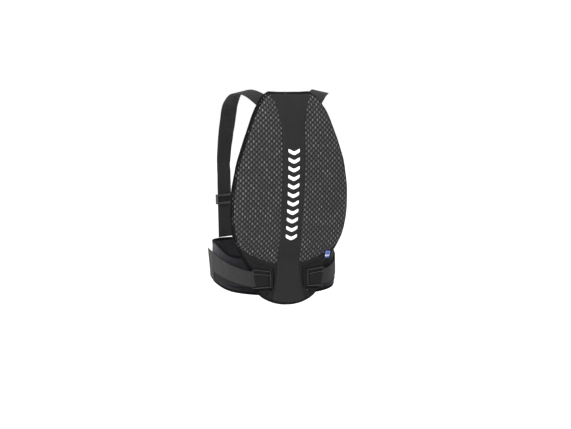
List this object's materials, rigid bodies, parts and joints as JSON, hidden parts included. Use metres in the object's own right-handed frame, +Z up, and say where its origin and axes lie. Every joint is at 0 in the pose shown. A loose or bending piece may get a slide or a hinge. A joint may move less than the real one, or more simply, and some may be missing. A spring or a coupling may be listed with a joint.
{
  "type": "back protector",
  "caption": "Worn back protector: curved foam back panel with lattice fabric sides and a smooth spine strip, wrap-round kidney belt with elastic tensioners, and adjustable shoulder straps.",
  "frame": {"origin": "the body-side face of the liner, on the spine, at the height of the two belt tunnels: the place that rests on the small of the wearer's back", "axes": "+Z up along the upright wearer, +Y forwards out of the wearer's chest, +X to the wearer's right; the panel's outer face looks towards -Y"},
  "size_m": [0.3002, 0.2764, 0.4984],
  "materials": {
    "softshell": "woven stretch fabric, matt",
    "lattice": "open lattice-knit fabric over a pale backing",
    "lumbar": "woven stretch fabric, matt",
    "tape": "woven edge tape",
    "foam": "closed-cell foam sheet",
    "liner": "spacer mesh",
    "plush": "brushed loop laminate",
    "elastic": "ribbed woven elastic",
    "hook": "hook and loop tape",
    "plastic": "moulded nylon",
    "print": "reflective transfer",
    "label": "woven label"
  },
  "bodies": {
    "back_panel": {"body_liner": "liner", "comfort_foam": "foam", "impact_core": "foam", "spine_cover": "softshell", "edge_binding": "tape", "reflective_transfer": "print", "side_label": "label", "left_mesh_panel": "lattice", "left_lumbar_panel": "lumbar", "left_belt_tunnel": "lumbar", "left_wing_anchor": "plush", "left_lower_elastic_root": "elastic", "left_upper_elastic_root": "elastic", "left_strap_root": "elastic", "left_strap_patch": "tape", "right_mesh_panel": "lattice", "right_lumbar_panel": "lumbar", "right_belt_tunnel": "lumbar", "right_wing_anchor": "plush", "right_lower_elastic_root": "elastic", "right_upper_elastic_root": "elastic", "right_strap_root": "elastic", "right_strap_patch": "tape"},
    "left_wing": {"left_belt_wing": "plush", "left_wing_top_tape": "tape", "left_wing_bottom_tape": "tape", "left_strap_tab": "tape", "closure_loop_tape": "hook"},
    "left_tensioner": {"left_lower_elastic": "elastic", "left_upper_elastic": "elastic", "left_tension_tab": "elastic", "left_tension_hook_tape": "hook"},
    "left_strap": {"left_shoulder_strap": "elastic", "left_strap_tail": "elastic"},
    "left_slider": {"left_strap_slider": "plastic"},
    "right_wing": {"right_belt_wing": "plush", "right_wing_top_tape": "tape", "right_wing_bottom_tape": "tape", "right_strap_tab": "tape"},
    "right_tensioner": {"right_lower_elastic": "elastic", "right_upper_elastic": "elastic", "right_tension_tab": "elastic", "right_tension_hook_tape": "hook"},
    "right_strap": {"right_shoulder_strap": "elastic", "right_strap_tail": "elastic"},
    "right_slider": {"right_strap_slider": "plastic"},
    "closure": {"closure_tab": "plush", "closure_hook_tape": "hook"}
  },
  "joints": [
    {"name": "left_wing_open", "type": "hinge", "parent": "back_panel", "child": "left_wing", "pos_m": [-0.12081, 0.01482, 0.02], "axis": [0, 0, 1], "range_deg": [0, 37.5]},
    {"name": "right_wing_open", "type": "hinge", "parent": "back_panel", "child": "right_wing", "pos_m": [0.12081, 0.01482, 0.02], "axis": [0, 0, -1], "range_deg": [0, 75]},
    {"name": "left_tensioner_peel", "type": "hinge", "parent": "left_wing", "child": "left_tensioner", "pos_m": [-0.12081, 0.01482, 0.02], "axis": [0, 0, 1], "range_deg": [0, 55]},
    {"name": "right_tensioner_peel", "type": "hinge", "parent": "right_wing", "child": "right_tensioner", "pos_m": [0.12081, 0.01482, 0.02], "axis": [0, 0, -1], "range_deg": [0, 55]},
    {"name": "closure_peel", "type": "hinge", "parent": "right_wing", "child": "closure", "pos_m": [0.0098, 0.2106, 0.033], "axis": [0, 0, -1], "range_deg": [0, 100]},
    {"name": "left_strap_lift", "type": "hinge", "parent": "back_panel", "child": "left_strap", "pos_m": [-0.07237, -0.01083, 0.41875], "axis": [0.7318, 0.4989, 0.4644], "range_deg": [0, 60]},
    {"name": "left_slider_slide", "type": "slide", "parent": "left_strap", "child": "left_slider", "axis": [0.025, 0.0561, -0.9981], "range_m": [-0.045, 0.06]},
    {"name": "right_strap_lift", "type": "hinge", "parent": "back_panel", "child": "right_strap", "pos_m": [0.07237, -0.01083, 0.41875], "axis": [0.7318, -0.4989, -0.4644], "range_deg": [0, 60]},
    {"name": "right_slider_slide", "type": "slide", "parent": "right_strap", "child": "right_slider", "axis": [-0.025, 0.0561, -0.9981], "range_m": [-0.045, 0.06]}
  ],
  "couplings": [
    {"joint": "left_wing_open", "follows": "right_wing_open", "ratio": 0.5}
  ]
}
